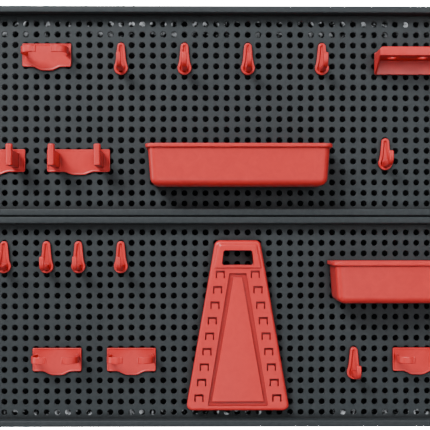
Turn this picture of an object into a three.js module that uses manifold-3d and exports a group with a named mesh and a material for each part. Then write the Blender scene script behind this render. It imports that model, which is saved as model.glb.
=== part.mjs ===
// Pegboard tool wall: two perforated plastic panels, one above the other, with hooks,
// clips, fork holders, trays, a spanner rack and a screwdriver rack pegged into them.
//
// Millimetres. +X to the right, +Z up, +Y into the wall; the wall's surface is the plane y = 0.
// The origin is on the back of the upper panel's lower rim, at its middle.

import * as THREE from 'three';
import { mergeVertices } from 'three/addons/utils/BufferGeometryUtils.js';
import Module from 'manifold-3d';

const wasm = await Module();
wasm.setup();

// ---------------------------------------------------------------- driving dimensions

// Hole grid
const PITCH = 15;
const COLUMNS = 61;
const ROWS = 18;
const HOLE_D = 8.5;

// Panel section
const FIELD_T = 3;
const STANDOFF = 12;
const RIM_PROUD = 18;
const RIM_W = 9.5;
const SKIN = 2.5;
const MARGIN_TOP = 12.5;
const MARGIN_BOTTOM = 8;
const MARGIN_SIDE = 8;
const PANEL_GAP = 1.5;
const PANEL_CORNER_R = 6;
const RECESS_CORNER_R = 3;

// Back of the panel
const PAD_W = 12;
const PAD_COUNT = 5;
const PAD_SPACING = 210;
const FOOT_D = 9;
const FOOT_COLUMNS = [-20.5, -10.5, -0.5, 9.5, 19.5];
const FOOT_ROWS = [4.5, 12.5];
const BOSS_D = 12;
const BOSS_BORE = 5.2;
const SCREW_COLUMN = 29.5;
const SCREW_ROWS = [1.5, 15.5];

// Fixing screw
const SCREW_HEAD_D = 9;
const SCREW_HEAD_H = 3;
const SCREW_SHANK_D = 4.2;
const SCREW_DRIVE_W = 1.2;
const SCREW_DRIVE_L = 5;
const SCREW_DRIVE_DEPTH = 1.6;

// Fits between pieces
const CLEARANCE = 0.4;
const PEG_D = 6;
const PEG_REACH = 9;

// Hook
const HOOK_BASE_T = 4.5;
const HOOK_LOW_R = 9.8;
const HOOK_TOP_R = 5.4;
const HOOK_LOW_Z = -2.9;
const HOOK_TOP_Z = 27.1;
const HOOK_PEG_DROP = 0.8;
const HOOK_REACH = 46;
const HOOK_W = 6.6;
const HOOK_BEND_R = 12;
const HOOK_ARM_T = 5;
const HOOK_BEND_Z = 4;
const HOOK_TIP_Z = 12;
const HOOK_ROOT_TOP_Z = 0;

// Plates of the clips and fork holders
const PLATE_T = 3;
const PLATE_CORNER_R = 4;

// Tool clip
const CLIP_W = 69;
const CLIP_LOW_Z = -1.5;
const CLIP_HIGH_Z = 31.5;
const CLIP_BULGE_W = 42;
const CLIP_BULGE_DROP = 5.3;
const CLIP_REACH = 37;
const CLIP_JAW_H = 9.5;
const CLIP_JAW_Z = 18;
const CLIP_JAW_T = 2.4;
const CLIP_GAP = 21;
const CLIP_ROOT_X = 28;
const CLIP_BELLY_X = 32;

// Fork holder
const FORK_W = 89;
const FORK_LOW_Z = -0.5;
const FORK_HIGH_Z = 31.5;
const FORK_BULGE_W = 44;
const FORK_BULGE_DROP = 4.2;
const FORK_REACH = 53;
const FORK_ARM_W = 9.6;
const FORK_ARM_SPACING = 62.6;
const FORK_ARM_LOW_Z = 5.5;
const FORK_ARM_TOP_Z = 26.5;
const FORK_TIP_Z = 35;
const FORK_TIP_T = 6;

// Tray
const TRAY_W = 256;
const TRAY_REACH = 64;
const TRAY_TOP_Z = 50;
const TRAY_LOW_Z = -7;
const TRAY_WALL = 2.5;
const TRAY_LIP = 3.5;
const TRAY_LIP_H = 5.3;
const TRAY_CORNER_R = 14;
const TRAY_BACK_CORNER_R = 3;
const TRAY_PEG_COLUMN = 7;

// Spanner rack
const SPANNER_T = 19;
const SPANNER_LOW_Z = -10;
const SPANNER_HIGH_Z = 228.7;
const SPANNER_LOW_W = 146;
const SPANNER_HIGH_W = 63;
const SPANNER_CORNER_R = 8;
const SPANNER_WALL = 2.5;
const SPANNER_FACE_T = 8;
const SPANNER_STEP = 2;
const SPANNER_STEP_Z = 190.5;
const HAND_LOW_Z = 194;
const HAND_HIGH_Z = 215;
const HAND_LOW_W = 45;
const HAND_HIGH_W = 40;
const HAND_CORNER_R = 3;
const POCKET_COUNT = 9;
const POCKET_SIDE = 13;
const POCKET_LOW_DEPTH = 6;
const POCKET_HIGH_DEPTH = 3.5;
const POCKET_LOW_Z = 7;
const POCKET_HIGH_Z = 180;
const POCKET_LOW_X = 54.5;
const POCKET_HIGH_X = 24.5;
const TONGUE_SIDE_GAP = 2;
const TONGUE_TOP_GAP = 3;
const TONGUE_FOOT = 2.5;
const GROOVE_DEPTH = 4;
const GROOVE_W = 6;
const GROOVE_LOW_Z = -3;
const GROOVE_HIGH_Z = 183;
const GROOVE_LOW_W = 85;
const GROOVE_HIGH_W = 24;
const GROOVE_LOW_LIP = 6;

// Screwdriver rack
const DRIVER_HOLES = 5;
const DRIVER_HOLE_D = 14;
const DRIVER_SPACING = 42;
const DRIVER_END = 20;
const DRIVER_LOW_Z = -12;
const DRIVER_HIGH_Z = 20;
const DRIVER_REACH = 44;
const DRIVER_LIP_H = 12.3;
const DRIVER_WALL = 2.5;
const DRIVER_SHELF_T = 3;
const DRIVER_CORNER_R = 5;
const DRIVER_PEG_COLUMNS = [1, 7, 13];

// Smoothness of round stretches
const ARC_STEPS = 3;
const HOLE_STEPS = 12;
const PEG_STEPS = 8;
const JAW_STEPS = 8;

// ---------------------------------------------------------------- derived dimensions

const INNER_W = (COLUMNS - 1) * PITCH + 2 * MARGIN_SIDE;
const INNER_H = (ROWS - 1) * PITCH + MARGIN_TOP + MARGIN_BOTTOM;
const PANEL_W = INNER_W + 2 * RIM_W;
const PANEL_H = INNER_H + 2 * RIM_W;
const FIELD_Y = -(STANDOFF + FIELD_T);
const RIM_Y = FIELD_Y - RIM_PROUD;
const UPPER_LOW_Z = -RIM_W / 2;
const LOWER_LOW_Z = UPPER_LOW_Z - PANEL_GAP - PANEL_H;
const DRIVER_W = (DRIVER_HOLES - 1) * DRIVER_SPACING + 2 * DRIVER_END;

const columnX = (column) => column * PITCH;
const rowZ = (panelLowZ, row) => panelLowZ + RIM_W + MARGIN_BOTTOM + (ROWS - 1 - row) * PITCH;

// ---------------------------------------------------------------- materials

const finish = {
  panel: { color: 0x3c4043, roughness: 0.62, metalness: 0 },
  red: { color: 0xc93b34, roughness: 0.38, metalness: 0 },
  zinc: { color: 0xb9bcc0, roughness: 0.35, metalness: 0.9 },
};

// ---------------------------------------------------------------- solids

function solid(geometry) {
  const bare = geometry.clone();
  bare.deleteAttribute('normal');
  bare.deleteAttribute('uv');
  const merged = mergeVertices(bare, 1e-4);
  return new wasm.Manifold(new wasm.Mesh({
    numProp: 3,
    vertProperties: new Float32Array(merged.attributes.position.array),
    triVerts: new Uint32Array(merged.index.array),
  }));
}

function meshOf(name, body, look) {
  const { vertProperties, triVerts } = body.getMesh();
  const geometry = new THREE.BufferGeometry();
  geometry.setAttribute('position', new THREE.BufferAttribute(vertProperties, 3));
  geometry.setIndex(new THREE.BufferAttribute(triVerts, 1));
  geometry.computeVertexNormals();
  const mesh = new THREE.Mesh(geometry, new THREE.MeshStandardMaterial(look));
  mesh.name = name;
  return mesh;
}

const join = (bodies) => bodies.reduce((whole, body) => whole.add(body));
const cut = (body, tools) => tools.reduce((rest, tool) => rest.subtract(tool), body);

// A closed outline through corners [x, y, radius], each corner rounded by an arc.
function outline(corners) {
  const shape = new THREE.Shape();
  const count = corners.length;
  corners.forEach(([x, y, r = 0], i) => {
    const corner = new THREE.Vector2(x, y);
    const before = new THREE.Vector2(...corners[(i + count - 1) % count]).sub(corner).normalize();
    const after = new THREE.Vector2(...corners[(i + 1) % count]).sub(corner).normalize();
    const half = Math.acos(THREE.MathUtils.clamp(before.dot(after), -1, 1)) / 2;
    const start = corner.clone().addScaledVector(before, r / Math.tan(half));
    const end = corner.clone().addScaledVector(after, r / Math.tan(half));
    if (i === 0) shape.moveTo(start.x, start.y);
    else shape.lineTo(start.x, start.y);
    if (r > 0) {
      const middle = before.clone().add(after).normalize();
      const centre = corner.clone().addScaledVector(middle, r / Math.sin(half));
      const from = Math.atan2(start.y - centre.y, start.x - centre.x);
      const to = Math.atan2(end.y - centre.y, end.x - centre.x);
      shape.absarc(centre.x, centre.y, r, from, to, before.cross(after) > 0);
    }
  });
  return shape;
}

function rectangle(x0, y0, x1, y1, r = 0) {
  return outline([[x0, y0, r], [x1, y0, r], [x1, y1, r], [x0, y1, r]]);
}

// An outline seen from the front (x, z), reaching from y = back towards the viewer by depth.
function facing(shape, back, depth) {
  const geometry = new THREE.ExtrudeGeometry(shape, {
    depth, bevelEnabled: false, curveSegments: ARC_STEPS,
  });
  geometry.rotateX(Math.PI / 2);
  geometry.translate(0, back, 0);
  return solid(geometry);
}

// An outline seen from above (x, y), standing from z = low to z = high.
function standing(shape, low, high) {
  const geometry = new THREE.ExtrudeGeometry(shape, {
    depth: high - low, bevelEnabled: false, curveSegments: ARC_STEPS,
  });
  geometry.translate(0, 0, low);
  return solid(geometry);
}

// An outline seen from the side, given as (reach towards the viewer, z), width w, centred on x.
function sideways(shape, x, w) {
  const geometry = new THREE.ExtrudeGeometry(shape, {
    depth: w, bevelEnabled: false, curveSegments: ARC_STEPS,
  });
  const turn = new THREE.Matrix4().makeBasis(
    new THREE.Vector3(0, -1, 0), new THREE.Vector3(0, 0, 1), new THREE.Vector3(-1, 0, 0));
  geometry.applyMatrix4(turn);
  geometry.translate(x + w / 2, 0, 0);
  return solid(geometry);
}

function block(x0, x1, y0, y1, z0, z1) {
  const geometry = new THREE.BoxGeometry(x1 - x0, y1 - y0, z1 - z0);
  geometry.translate((x0 + x1) / 2, (y0 + y1) / 2, (z0 + z1) / 2);
  return solid(geometry);
}

// A round bar along Y.
function bar(x, z, diameter, y0, y1, steps) {
  const geometry = new THREE.CylinderGeometry(diameter / 2, diameter / 2, y1 - y0, steps);
  geometry.translate(x, (y0 + y1) / 2, z);
  return solid(geometry);
}

// A round bar along Z.
function column(x, y, diameter, z0, z1) {
  const geometry = new THREE.CylinderGeometry(diameter / 2, diameter / 2, z1 - z0, HOLE_STEPS);
  geometry.rotateX(Math.PI / 2);
  geometry.translate(x, y, (z0 + z1) / 2);
  return solid(geometry);
}

// ---------------------------------------------------------------- accessories
//
// Each accessory is built around its own reference hole: x and z are measured from that hole's
// centre, and y = 0 is the front of the panel's field. pegs lists its pegs as [column, row up].

const pegBars = (pegs, drop = 0, root = -CLEARANCE - 1) => pegs.map(([columns, rows]) => bar(
  columns * PITCH, rows * PITCH - (rows > 0 ? drop : 0), PEG_D, root, PEG_REACH - CLEARANCE, PEG_STEPS));

const hook = {
  pegs: [[0, 0], [0, 2]],
  build() {
    const lean = Math.asin((HOOK_LOW_R - HOOK_TOP_R) / (HOOK_TOP_Z - HOOK_LOW_Z));
    const teardrop = new THREE.Shape();
    teardrop.absarc(0, HOOK_LOW_Z, HOOK_LOW_R, Math.PI - lean, 2 * Math.PI + lean, false);
    teardrop.absarc(0, HOOK_TOP_Z, HOOK_TOP_R, lean, Math.PI - lean, false);
    const base = facing(teardrop, -CLEARANCE, HOOK_BASE_T);

    const bendX = HOOK_REACH - HOOK_BEND_R;
    const innerR = HOOK_BEND_R - HOOK_ARM_T;
    const profile = new THREE.Shape();
    profile.moveTo(2, HOOK_BEND_Z - HOOK_BEND_R);
    profile.absarc(bendX, HOOK_BEND_Z, HOOK_BEND_R, -Math.PI / 2, 0, false);
    profile.absarc(HOOK_REACH - HOOK_ARM_T / 2, HOOK_TIP_Z - HOOK_ARM_T / 2, HOOK_ARM_T / 2, 0, Math.PI, false);
    profile.absarc(bendX, HOOK_BEND_Z, innerR, 0, -Math.PI / 2, true);
    profile.lineTo(2, HOOK_ROOT_TOP_Z);
    const arm = sideways(profile, 0, HOOK_W);
    return join([base, arm, ...pegBars(this.pegs, HOOK_PEG_DROP)]);
  },
};

// A plate with rounded corners and a shallow bulge in the middle of its lower edge.
function bulgedPlate(width, low, high, bulgeWidth, bulgeDrop) {
  const half = width / 2;
  const r = PLATE_CORNER_R;
  const shape = new THREE.Shape();
  shape.moveTo(-half, low + r);
  shape.absarc(-half + r, low + r, r, Math.PI, 1.5 * Math.PI, false);
  shape.lineTo(-bulgeWidth / 2, low);
  shape.bezierCurveTo(-bulgeWidth / 4, low, -bulgeWidth / 4, low - bulgeDrop, 0, low - bulgeDrop);
  shape.bezierCurveTo(bulgeWidth / 4, low - bulgeDrop, bulgeWidth / 4, low, bulgeWidth / 2, low);
  shape.absarc(half - r, low + r, r, 1.5 * Math.PI, 2 * Math.PI, false);
  shape.absarc(half - r / 2, high - r / 2, r / 2, 0, Math.PI / 2, false);
  shape.absarc(-half + r / 2, high - r / 2, r / 2, Math.PI / 2, Math.PI, false);
  return facing(shape, -CLEARANCE, PLATE_T);
}

// A strip of even thickness along a smooth curve through the given points, seen from above.
function ribbon(points, thickness, steps) {
  const curve = new THREE.SplineCurve(points.map(([x, y]) => new THREE.Vector2(x, y)));
  const sides = [[], []];
  for (let i = 0; i <= steps; i += 1) {
    const at = curve.getPointAt(i / steps);
    const along = curve.getTangentAt(i / steps);
    const across = new THREE.Vector2(-along.y, along.x).multiplyScalar(thickness / 2);
    sides[0].push(at.clone().add(across));
    sides[1].push(at.clone().sub(across));
  }
  return new THREE.Shape([...sides[0], ...sides[1].reverse()]);
}

const clip = {
  pegs: [[-2, 1], [2, 1], [0, 0]],
  build() {
    const tip = CLIP_GAP / 2;
    const front = -CLIP_REACH + CLIP_JAW_T / 2;
    const low = CLIP_JAW_Z - CLIP_JAW_H / 2;
    const jaws = [-1, 1].map((side) => standing(ribbon([
      [side * CLIP_ROOT_X, -1.5],
      [side * CLIP_BELLY_X, front / 2],
      [side * (CLIP_BELLY_X - 3), front * 0.85],
      [side * (tip + 9), front],
      [side * tip, front + 2],
    ], CLIP_JAW_T, JAW_STEPS), low, low + CLIP_JAW_H));
    const plate = bulgedPlate(CLIP_W, CLIP_LOW_Z, CLIP_HIGH_Z, CLIP_BULGE_W, CLIP_BULGE_DROP);
    return join([plate, ...jaws, ...pegBars(this.pegs)]);
  },
};

const fork = {
  pegs: [[-2, 1], [2, 1], [0, 0]],
  build() {
    const profile = outline([
      [1, FORK_ARM_LOW_Z],
      [FORK_REACH, FORK_ARM_LOW_Z, 2],
      [FORK_REACH, FORK_TIP_Z, 2],
      [FORK_REACH - FORK_TIP_T, FORK_TIP_Z, 2],
      [FORK_REACH - FORK_TIP_T - 4, FORK_ARM_TOP_Z, 3],
      [1, FORK_ARM_TOP_Z],
    ]);
    const r = FORK_ARM_W / 2 - 0.6;
    const arms = [-1, 1].map((side) => {
      const x = side * FORK_ARM_SPACING / 2;
      const plan = outline([
        [x + FORK_ARM_W / 2, 0],
        [x - FORK_ARM_W / 2, 0],
        [x - FORK_ARM_W / 2, -FORK_REACH, r],
        [x + FORK_ARM_W / 2, -FORK_REACH, r],
      ]);
      return sideways(profile, x, FORK_ARM_W)
        .intersect(standing(plan, FORK_ARM_LOW_Z - 1, FORK_TIP_Z + 1));
    });
    const plate = bulgedPlate(FORK_W, FORK_LOW_Z, FORK_HIGH_Z, FORK_BULGE_W, FORK_BULGE_DROP);
    return join([plate, ...arms, ...pegBars(this.pegs)]);
  },
};

const tray = {
  pegs: [-1, 1].flatMap((side) => [0, 2].map((row) => [side * TRAY_PEG_COLUMN, row])),
  build() {
    const plan = (inset) => {
      const half = TRAY_W / 2 - inset;
      const front = -TRAY_REACH + inset;
      const back = -CLEARANCE - (inset > TRAY_LIP ? TRAY_WALL : 0);
      const r = TRAY_CORNER_R - inset;
      return outline([
        [-half, front, r], [half, front, r], [half, back, TRAY_BACK_CORNER_R], [-half, back, TRAY_BACK_CORNER_R],
      ]);
    };
    const body = standing(plan(TRAY_LIP), TRAY_LOW_Z, TRAY_TOP_Z);
    const lip = standing(plan(0), TRAY_TOP_Z - TRAY_LIP_H, TRAY_TOP_Z);
    const inside = standing(plan(TRAY_LIP + TRAY_WALL), TRAY_LOW_Z + TRAY_WALL, TRAY_TOP_Z + 1);
    return cut(join([body, lip, ...pegBars(this.pegs)]), [inside]);
  },
};

const spannerRack = {
  pegs: [[-1, 15], [1, 15], [-3, 0], [3, 0]],
  halfWidth(z) {
    const t = (z - SPANNER_LOW_Z) / (SPANNER_HIGH_Z - SPANNER_LOW_Z);
    return THREE.MathUtils.lerp(SPANNER_LOW_W, SPANNER_HIGH_W, t) / 2;
  },
  trapezoid(low, high, lowHalf, highHalf, r) {
    return outline([[-lowHalf, low, r], [lowHalf, low, r], [highHalf, high, r], [-highHalf, high, r]]);
  },
  board(low, high, inset, r) {
    return this.trapezoid(low, high, this.halfWidth(low) - inset, this.halfWidth(high) - inset, r);
  },
  build() {
    const front = -SPANNER_T;
    const face = front + SPANNER_STEP;
    const whole = facing(this.board(SPANNER_LOW_Z, SPANNER_HIGH_Z, 0, SPANNER_CORNER_R),
      -CLEARANCE, SPANNER_T - CLEARANCE);
    const step = block(-SPANNER_LOW_W, SPANNER_LOW_W, front - 1, face, SPANNER_LOW_Z - 1, SPANNER_STEP_Z);
    const hollow = facing(this.board(SPANNER_LOW_Z + SPANNER_WALL, HAND_LOW_Z - 2 * SPANNER_WALL,
      SPANNER_WALL, SPANNER_CORNER_R - SPANNER_WALL), 1, 1 - face - SPANNER_FACE_T);
    const hand = facing(this.trapezoid(HAND_LOW_Z, HAND_HIGH_Z, HAND_LOW_W / 2, HAND_HIGH_W / 2, HAND_CORNER_R),
      1, SPANNER_T + 2);

    const pockets = [];
    for (let i = 0; i < POCKET_COUNT; i += 1) {
      const t = i / (POCKET_COUNT - 1);
      const z = THREE.MathUtils.lerp(POCKET_LOW_Z, POCKET_HIGH_Z, t);
      const x = THREE.MathUtils.lerp(POCKET_LOW_X, POCKET_HIGH_X, t);
      const floor = face + THREE.MathUtils.lerp(POCKET_LOW_DEPTH, POCKET_HIGH_DEPTH, t);
      for (const side of [-1, 1]) {
        const half = POCKET_SIDE / 2;
        const [left, right] = [side * x - half, side * x + half];
        pockets.push(cut(block(left, right, face - 1, floor, z - half + TONGUE_FOOT, z + half), [
          block(left + TONGUE_SIDE_GAP, right - TONGUE_SIDE_GAP, face - 2, floor + 1,
            z - half, z + half - TONGUE_TOP_GAP)]));
      }
    }
    const groove = cut(
      facing(this.trapezoid(GROOVE_LOW_Z, GROOVE_HIGH_Z, GROOVE_LOW_W / 2, GROOVE_HIGH_W / 2, 2),
        face + GROOVE_DEPTH, GROOVE_DEPTH + 1),
      [facing(this.trapezoid(GROOVE_LOW_Z + GROOVE_LOW_LIP, GROOVE_HIGH_Z - GROOVE_LOW_LIP,
        GROOVE_LOW_W / 2 - GROOVE_W, GROOVE_HIGH_W / 2 - GROOVE_W, 1), face + GROOVE_DEPTH + 1, GROOVE_DEPTH + 3)]);

    const shell = cut(whole, [step, hollow, hand, groove, ...pockets]);
    return join([shell, ...pegBars(this.pegs, 0, face + SPANNER_FACE_T - 1)]);
  },
};

const driverRack = {
  pegs: DRIVER_PEG_COLUMNS.map((at) => [at, 0]),
  build() {
    const shelfLow = DRIVER_HIGH_Z - DRIVER_LIP_H;
    const plan = (inset, back) => outline([
      [inset, -DRIVER_REACH + inset, DRIVER_CORNER_R - inset / 2],
      [DRIVER_W - inset, -DRIVER_REACH + inset, DRIVER_CORNER_R - inset / 2],
      [DRIVER_W - inset, back], [inset, back],
    ]);
    const rim = standing(plan(0, -CLEARANCE), shelfLow, DRIVER_HIGH_Z);
    const well = standing(plan(DRIVER_WALL, -CLEARANCE - PLATE_T), shelfLow + DRIVER_SHELF_T, DRIVER_HIGH_Z + 1);
    const plate = block(0, DRIVER_W, -CLEARANCE - PLATE_T, -CLEARANCE, DRIVER_LOW_Z, DRIVER_HIGH_Z);
    const gusset = outline([
      [1, DRIVER_LOW_Z], [PLATE_T + 3, DRIVER_LOW_Z], [DRIVER_REACH - DRIVER_CORNER_R, shelfLow + 1], [1, shelfLow + 1],
    ]);
    const ends = [DRIVER_WALL / 2, DRIVER_W - DRIVER_WALL / 2].map((x) => sideways(gusset, x, DRIVER_WALL));
    const holes = Array.from({ length: DRIVER_HOLES }, (_, i) => column(
      DRIVER_END + i * DRIVER_SPACING, -DRIVER_REACH / 2 - PLATE_T / 2, DRIVER_HOLE_D,
      shelfLow - 1, shelfLow + DRIVER_SHELF_T + 1));
    return join([cut(join([rim, plate, ...ends]), [well, ...holes]), ...pegBars(this.pegs)]);
  },
};

// ---------------------------------------------------------------- where everything hangs
//
// column is counted from the middle of the wall, row from the top of its panel, both for the
// accessory's reference hole.

const placements = [
  ...[-9, -3, 3, 10].map((at) => ({ kind: hook, name: 'hook_upper', panel: 'upper', column: at, row: 4 })),
  { kind: hook, name: 'hook_upper', panel: 'upper', column: 16, row: 13 },
  ...[-20, -16, -13, -9].map((at) => ({ kind: hook, name: 'hook_lower', panel: 'lower', column: at, row: 3 })),
  { kind: hook, name: 'hook_lower', panel: 'lower', column: 13, row: 13 },
  { kind: clip, name: 'clip_upper', panel: 'upper', column: -16, row: 4 },
  ...[-15, -8, 19].map((at) => ({ kind: clip, name: 'clip_lower', panel: 'lower', column: at, row: 13 })),
  ...[-21, -13].map((at) => ({ kind: fork, name: 'fork_holder', panel: 'upper', column: at, row: 14 })),
  { kind: tray, name: 'tray_upper', panel: 'upper', column: 2, row: 15 },
  { kind: tray, name: 'tray_lower', panel: 'lower', column: 19, row: 6 },
  { kind: spannerRack, name: 'spanner_rack', panel: 'lower', column: 2, row: 16 },
  { kind: driverRack, name: 'screwdriver_rack', panel: 'upper', column: 15, row: 4 },
];

const lowZ = { upper: UPPER_LOW_Z, lower: LOWER_LOW_Z };

// Names that occur more than once get a number: hook_upper_1, hook_upper_2 and so on.
function numberedNames(list) {
  const counts = {};
  return list.map(({ name }) => {
    const repeated = list.filter((other) => other.name === name).length > 1;
    counts[name] = (counts[name] ?? 0) + 1;
    return repeated ? `${name}_${counts[name]}` : name;
  });
}

// ---------------------------------------------------------------- panels and screws

// The centres of the peg holes that hold an accessory on this panel.
function pegHoles(panelName) {
  return placements.filter(({ panel }) => panel === panelName).flatMap(({ kind, column: at, row }) => (
    kind.pegs.map(([columns, rows]) => [columnX(at + columns), rowZ(lowZ[panelName], row - rows)])));
}

function screwPlaces(panelLowZ) {
  return [-1, 1].flatMap((side) => SCREW_ROWS.map((row) => [
    columnX(side * SCREW_COLUMN), rowZ(panelLowZ, row)]));
}

function buildPanel(panelName) {
  const low = lowZ[panelName];
  const high = low + PANEL_H;
  const frame = (inset, r) => rectangle(-PANEL_W / 2 + inset, low + inset, PANEL_W / 2 - inset, high - inset, r);
  const whole = facing(frame(0, PANEL_CORNER_R), 0, -RIM_Y);
  const backHollow = facing(frame(SKIN, PANEL_CORNER_R - SKIN), 1, STANDOFF + 1);
  const rimHollow = cut(
    facing(frame(SKIN, PANEL_CORNER_R - SKIN), 1, 1 - RIM_Y - SKIN),
    [facing(frame(RIM_W - SKIN, 0), 2, 4 - RIM_Y)]);
  const recess = facing(frame(RIM_W, RECESS_CORNER_R), FIELD_Y, RIM_PROUD + 1);
  const shell = cut(whole, [backHollow, rimHollow, recess]);

  const padDepth = [RIM_Y + SKIN / 2, 0];
  const pads = [];
  for (let i = 0; i < PAD_COUNT; i += 1) {
    const x = (i - (PAD_COUNT - 1) / 2) * PAD_SPACING;
    for (const z of [low + SKIN / 2, high - RIM_W + SKIN / 2]) {
      pads.push(block(x - PAD_W / 2, x + PAD_W / 2, ...padDepth, z, z + RIM_W - SKIN));
    }
  }
  const middle = (low + high) / 2;
  for (const side of [-1, 1]) {
    const x = side * (PANEL_W - RIM_W) / 2;
    pads.push(block(x - (RIM_W - SKIN) / 2, x + (RIM_W - SKIN) / 2, ...padDepth, middle - PAD_W / 2, middle + PAD_W / 2));
  }
  const feet = FOOT_COLUMNS.flatMap((at) => FOOT_ROWS.map((row) => (
    bar(columnX(at), rowZ(low, row), FOOT_D, -STANDOFF - 1, 0, PEG_STEPS))));
  const bosses = screwPlaces(low).map(([x, z]) => bar(x, z, BOSS_D, -STANDOFF - 1, 0, HOLE_STEPS));
  const bores = screwPlaces(low).map(([x, z]) => bar(x, z, BOSS_BORE, FIELD_Y - 1, 1, PEG_STEPS));
  const holes = pegHoles(panelName).map(([x, z]) => bar(x, z, HOLE_D, FIELD_Y - 1, 1 - STANDOFF, HOLE_STEPS));
  return cut(join([shell, ...pads, ...feet, ...bosses]), [...bores, ...holes]);
}

// A pan-head screw along Y, its head on the field's front and its shank ending at the wall's face.
function buildScrew(x, z) {
  const headR = SCREW_HEAD_D / 2;
  const shankR = SCREW_SHANK_D / 2;
  const length = -FIELD_Y + CLEARANCE;
  const profile = [
    [0, -SCREW_HEAD_H], [headR * 0.8, -SCREW_HEAD_H], [headR, -SCREW_HEAD_H / 3],
    [headR, 0], [shankR, 0], [shankR, length - CLEARANCE], [0, length - CLEARANCE],
  ].map(([r, along]) => new THREE.Vector2(r, along));
  const geometry = new THREE.LatheGeometry(profile, PEG_STEPS);
  geometry.translate(x, FIELD_Y - CLEARANCE, z);
  const top = FIELD_Y - CLEARANCE - SCREW_HEAD_H;
  const w = SCREW_DRIVE_W / 2;
  const l = SCREW_DRIVE_L / 2;
  return cut(solid(geometry), [
    block(x - w, x + w, top - 1, top + SCREW_DRIVE_DEPTH, z - l, z + l),
  ]);
}

// ---------------------------------------------------------------- assembly

const wall = new THREE.Group();

for (const panelName of ['upper', 'lower']) {
  wall.add(meshOf(`panel_${panelName}`, buildPanel(panelName), finish.panel));
  screwPlaces(lowZ[panelName]).forEach(([x, z], i) => {
    wall.add(meshOf(`fixing_screw_${panelName}_${i + 1}`, buildScrew(x, z), finish.zinc));
  });
}

const names = numberedNames(placements);
placements.forEach(({ kind, panel, column: at, row }, i) => {
  const mesh = meshOf(names[i], kind.build(), finish.red);
  mesh.position.set(columnX(at), FIELD_Y, rowZ(lowZ[panel], row));
  wall.add(mesh);
});

export default wall;
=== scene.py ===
"""Looks of the pegboard tool wall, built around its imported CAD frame.

Metres. +X to the right, +Z up, +Y into the wall; the viewer is on the -Y side.
Every accessory is built around its own reference hole: x and z are measured from that hole's
centre, and y = 0 is the front of the perforated field.
"""

import math

import bmesh
import bpy
import numpy as np
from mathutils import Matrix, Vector
from mathutils.geometry import tessellate_polygon


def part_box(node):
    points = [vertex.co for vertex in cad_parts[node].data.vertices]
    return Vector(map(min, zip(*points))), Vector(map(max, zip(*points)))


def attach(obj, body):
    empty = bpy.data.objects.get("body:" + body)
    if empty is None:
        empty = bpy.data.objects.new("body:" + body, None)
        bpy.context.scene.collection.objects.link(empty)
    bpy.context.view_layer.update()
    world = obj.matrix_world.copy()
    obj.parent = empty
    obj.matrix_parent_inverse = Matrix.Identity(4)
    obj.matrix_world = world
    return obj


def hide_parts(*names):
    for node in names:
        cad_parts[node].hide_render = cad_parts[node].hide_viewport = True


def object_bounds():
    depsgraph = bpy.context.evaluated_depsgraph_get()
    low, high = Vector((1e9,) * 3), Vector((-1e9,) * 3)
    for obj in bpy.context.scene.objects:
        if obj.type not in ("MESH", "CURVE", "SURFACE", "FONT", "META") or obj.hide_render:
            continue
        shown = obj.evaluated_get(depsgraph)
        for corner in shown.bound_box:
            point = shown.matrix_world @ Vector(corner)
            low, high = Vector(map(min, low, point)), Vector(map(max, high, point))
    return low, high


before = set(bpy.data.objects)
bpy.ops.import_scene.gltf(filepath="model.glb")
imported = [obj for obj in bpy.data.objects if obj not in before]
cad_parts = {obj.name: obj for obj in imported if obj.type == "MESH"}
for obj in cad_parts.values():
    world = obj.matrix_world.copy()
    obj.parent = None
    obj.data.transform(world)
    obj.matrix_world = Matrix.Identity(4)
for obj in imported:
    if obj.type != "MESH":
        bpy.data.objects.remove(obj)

MM = 0.001
CAD_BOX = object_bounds()

# ---------------------------------------------------------------- driving dimensions (mm)

PITCH = 15.0
COLUMNS = 61
ROWS = 18
HOLE_R = 4.25
FIELD_T = 3.0
RIM_PROUD = 18.0
RIM_W = 9.5
SKIN = 2.5
MARGIN_TOP = 12.5
PEG_GAP = 0.4


def corner_mm(node):
    """Lowest and highest corner of a CAD node, in millimetres."""
    low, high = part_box(node)
    return np.array(low) / MM, np.array(high) / MM


# ---------------------------------------------------------------- mesh building

SHARP = 35
BACK_EDGE_R = 0.4


class Surface:
    """Collects rings of points, in millimetres, into one closed surface."""

    def __init__(self):
        self.points = []
        self.faces = []

    def ring(self, points):
        first = len(self.points)
        self.points.extend([tuple(map(float, p)) for p in points])
        return list(range(first, len(self.points)))

    def bridge(self, a, b):
        """Quads between two rings of the same count."""
        count = len(a)
        for i in range(count):
            j = (i + 1) % count
            self.faces.append((a[i], a[j], b[j], b[i]))

    def loft(self, rings, closed=False):
        """Bridges each ring to the next, and the last to the first if closed. Returns first and last."""
        made = [self.ring(r) for r in rings]
        for a, b in zip(made, made[1:]):
            self.bridge(a, b)
        if closed:
            self.bridge(made[-1], made[0])
        return made[0], made[-1]

    def face(self, ring, flip=False):
        self.faces.append(tuple(reversed(ring)) if flip else tuple(ring))

    def sheet(self, outer, holes, flip=False):
        """A flat region inside the ring outer and outside the rings in holes."""
        loops = [[Vector(self.points[i]) for i in loop] for loop in [outer, *holes]]
        index = [i for loop in [outer, *holes] for i in loop]
        for tri in tessellate_polygon(loops):
            a, b, c = (index[k] for k in tri)
            self.faces.append((a, b, c) if flip else (c, b, a))

    def mesh(self, name, sharp=SHARP):
        made = bpy.data.meshes.new(name)
        made.from_pydata([Vector(p) * MM for p in self.points], [], self.faces)
        tidy(made, sharp)
        return made


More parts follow.
